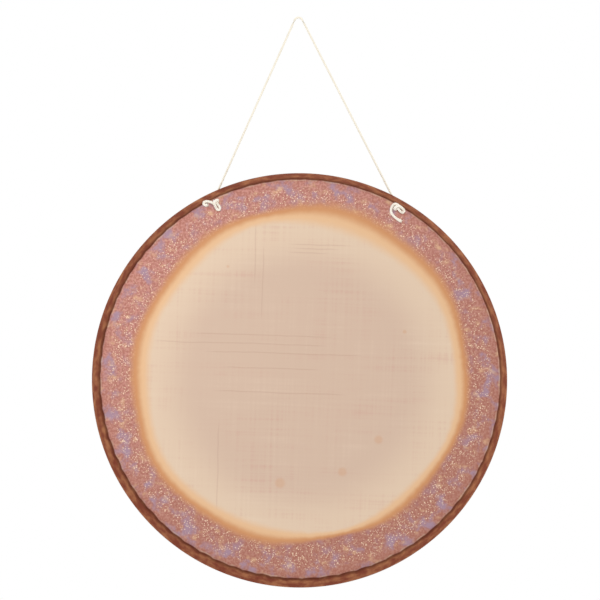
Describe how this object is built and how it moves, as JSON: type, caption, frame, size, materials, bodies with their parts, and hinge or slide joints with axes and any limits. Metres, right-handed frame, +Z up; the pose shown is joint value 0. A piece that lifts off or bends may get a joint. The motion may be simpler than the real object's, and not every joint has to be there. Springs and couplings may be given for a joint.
{
  "type": "hanging tam gong",
  "caption": "Flat-faced hammered bronze gong with a turned-back rim, hung on a thin cord that passes over a hook and the rear lip, then through the face to stopper knots in front.",
  "frame": {"origin": "the inside of the cord's bend, where it bears on a hook", "axes": "+Z up, the face toward -Y, +X to the right seen from the front; the gong hangs tilted 5.8 degrees, face a little down"},
  "size_m": [0.6997, 0.1113, 0.9668],
  "materials": {
    "bronze": "lathed and brushed champagne centre, heat-tinted copper ring, dark brown rim",
    "cord": "cream twisted cord, matte"
  },
  "bodies": {
    "cord_top": {"cord_bend": "cord"},
    "cord_legs": {"left_cord_leg": "cord", "right_cord_leg": "cord"},
    "gong": {"gong_plate": "bronze", "left_cord_run": "cord", "right_cord_run": "cord", "left_knot": "cord", "right_knot": "cord"}
  },
  "joints": [
    {"name": "cord_swing", "type": "hinge", "parent": "cord_top", "child": "cord_legs", "pos_m": [0, 0, -0.01], "axis": [1, 0, 0], "range_deg": [-30, 30]},
    {"name": "gong_rock", "type": "hinge", "parent": "cord_legs", "child": "gong", "pos_m": [0.0112, 0, -0.3004], "axis": [0.9997, 0, -0.0262], "range_deg": [-30, 30]}
  ]
}
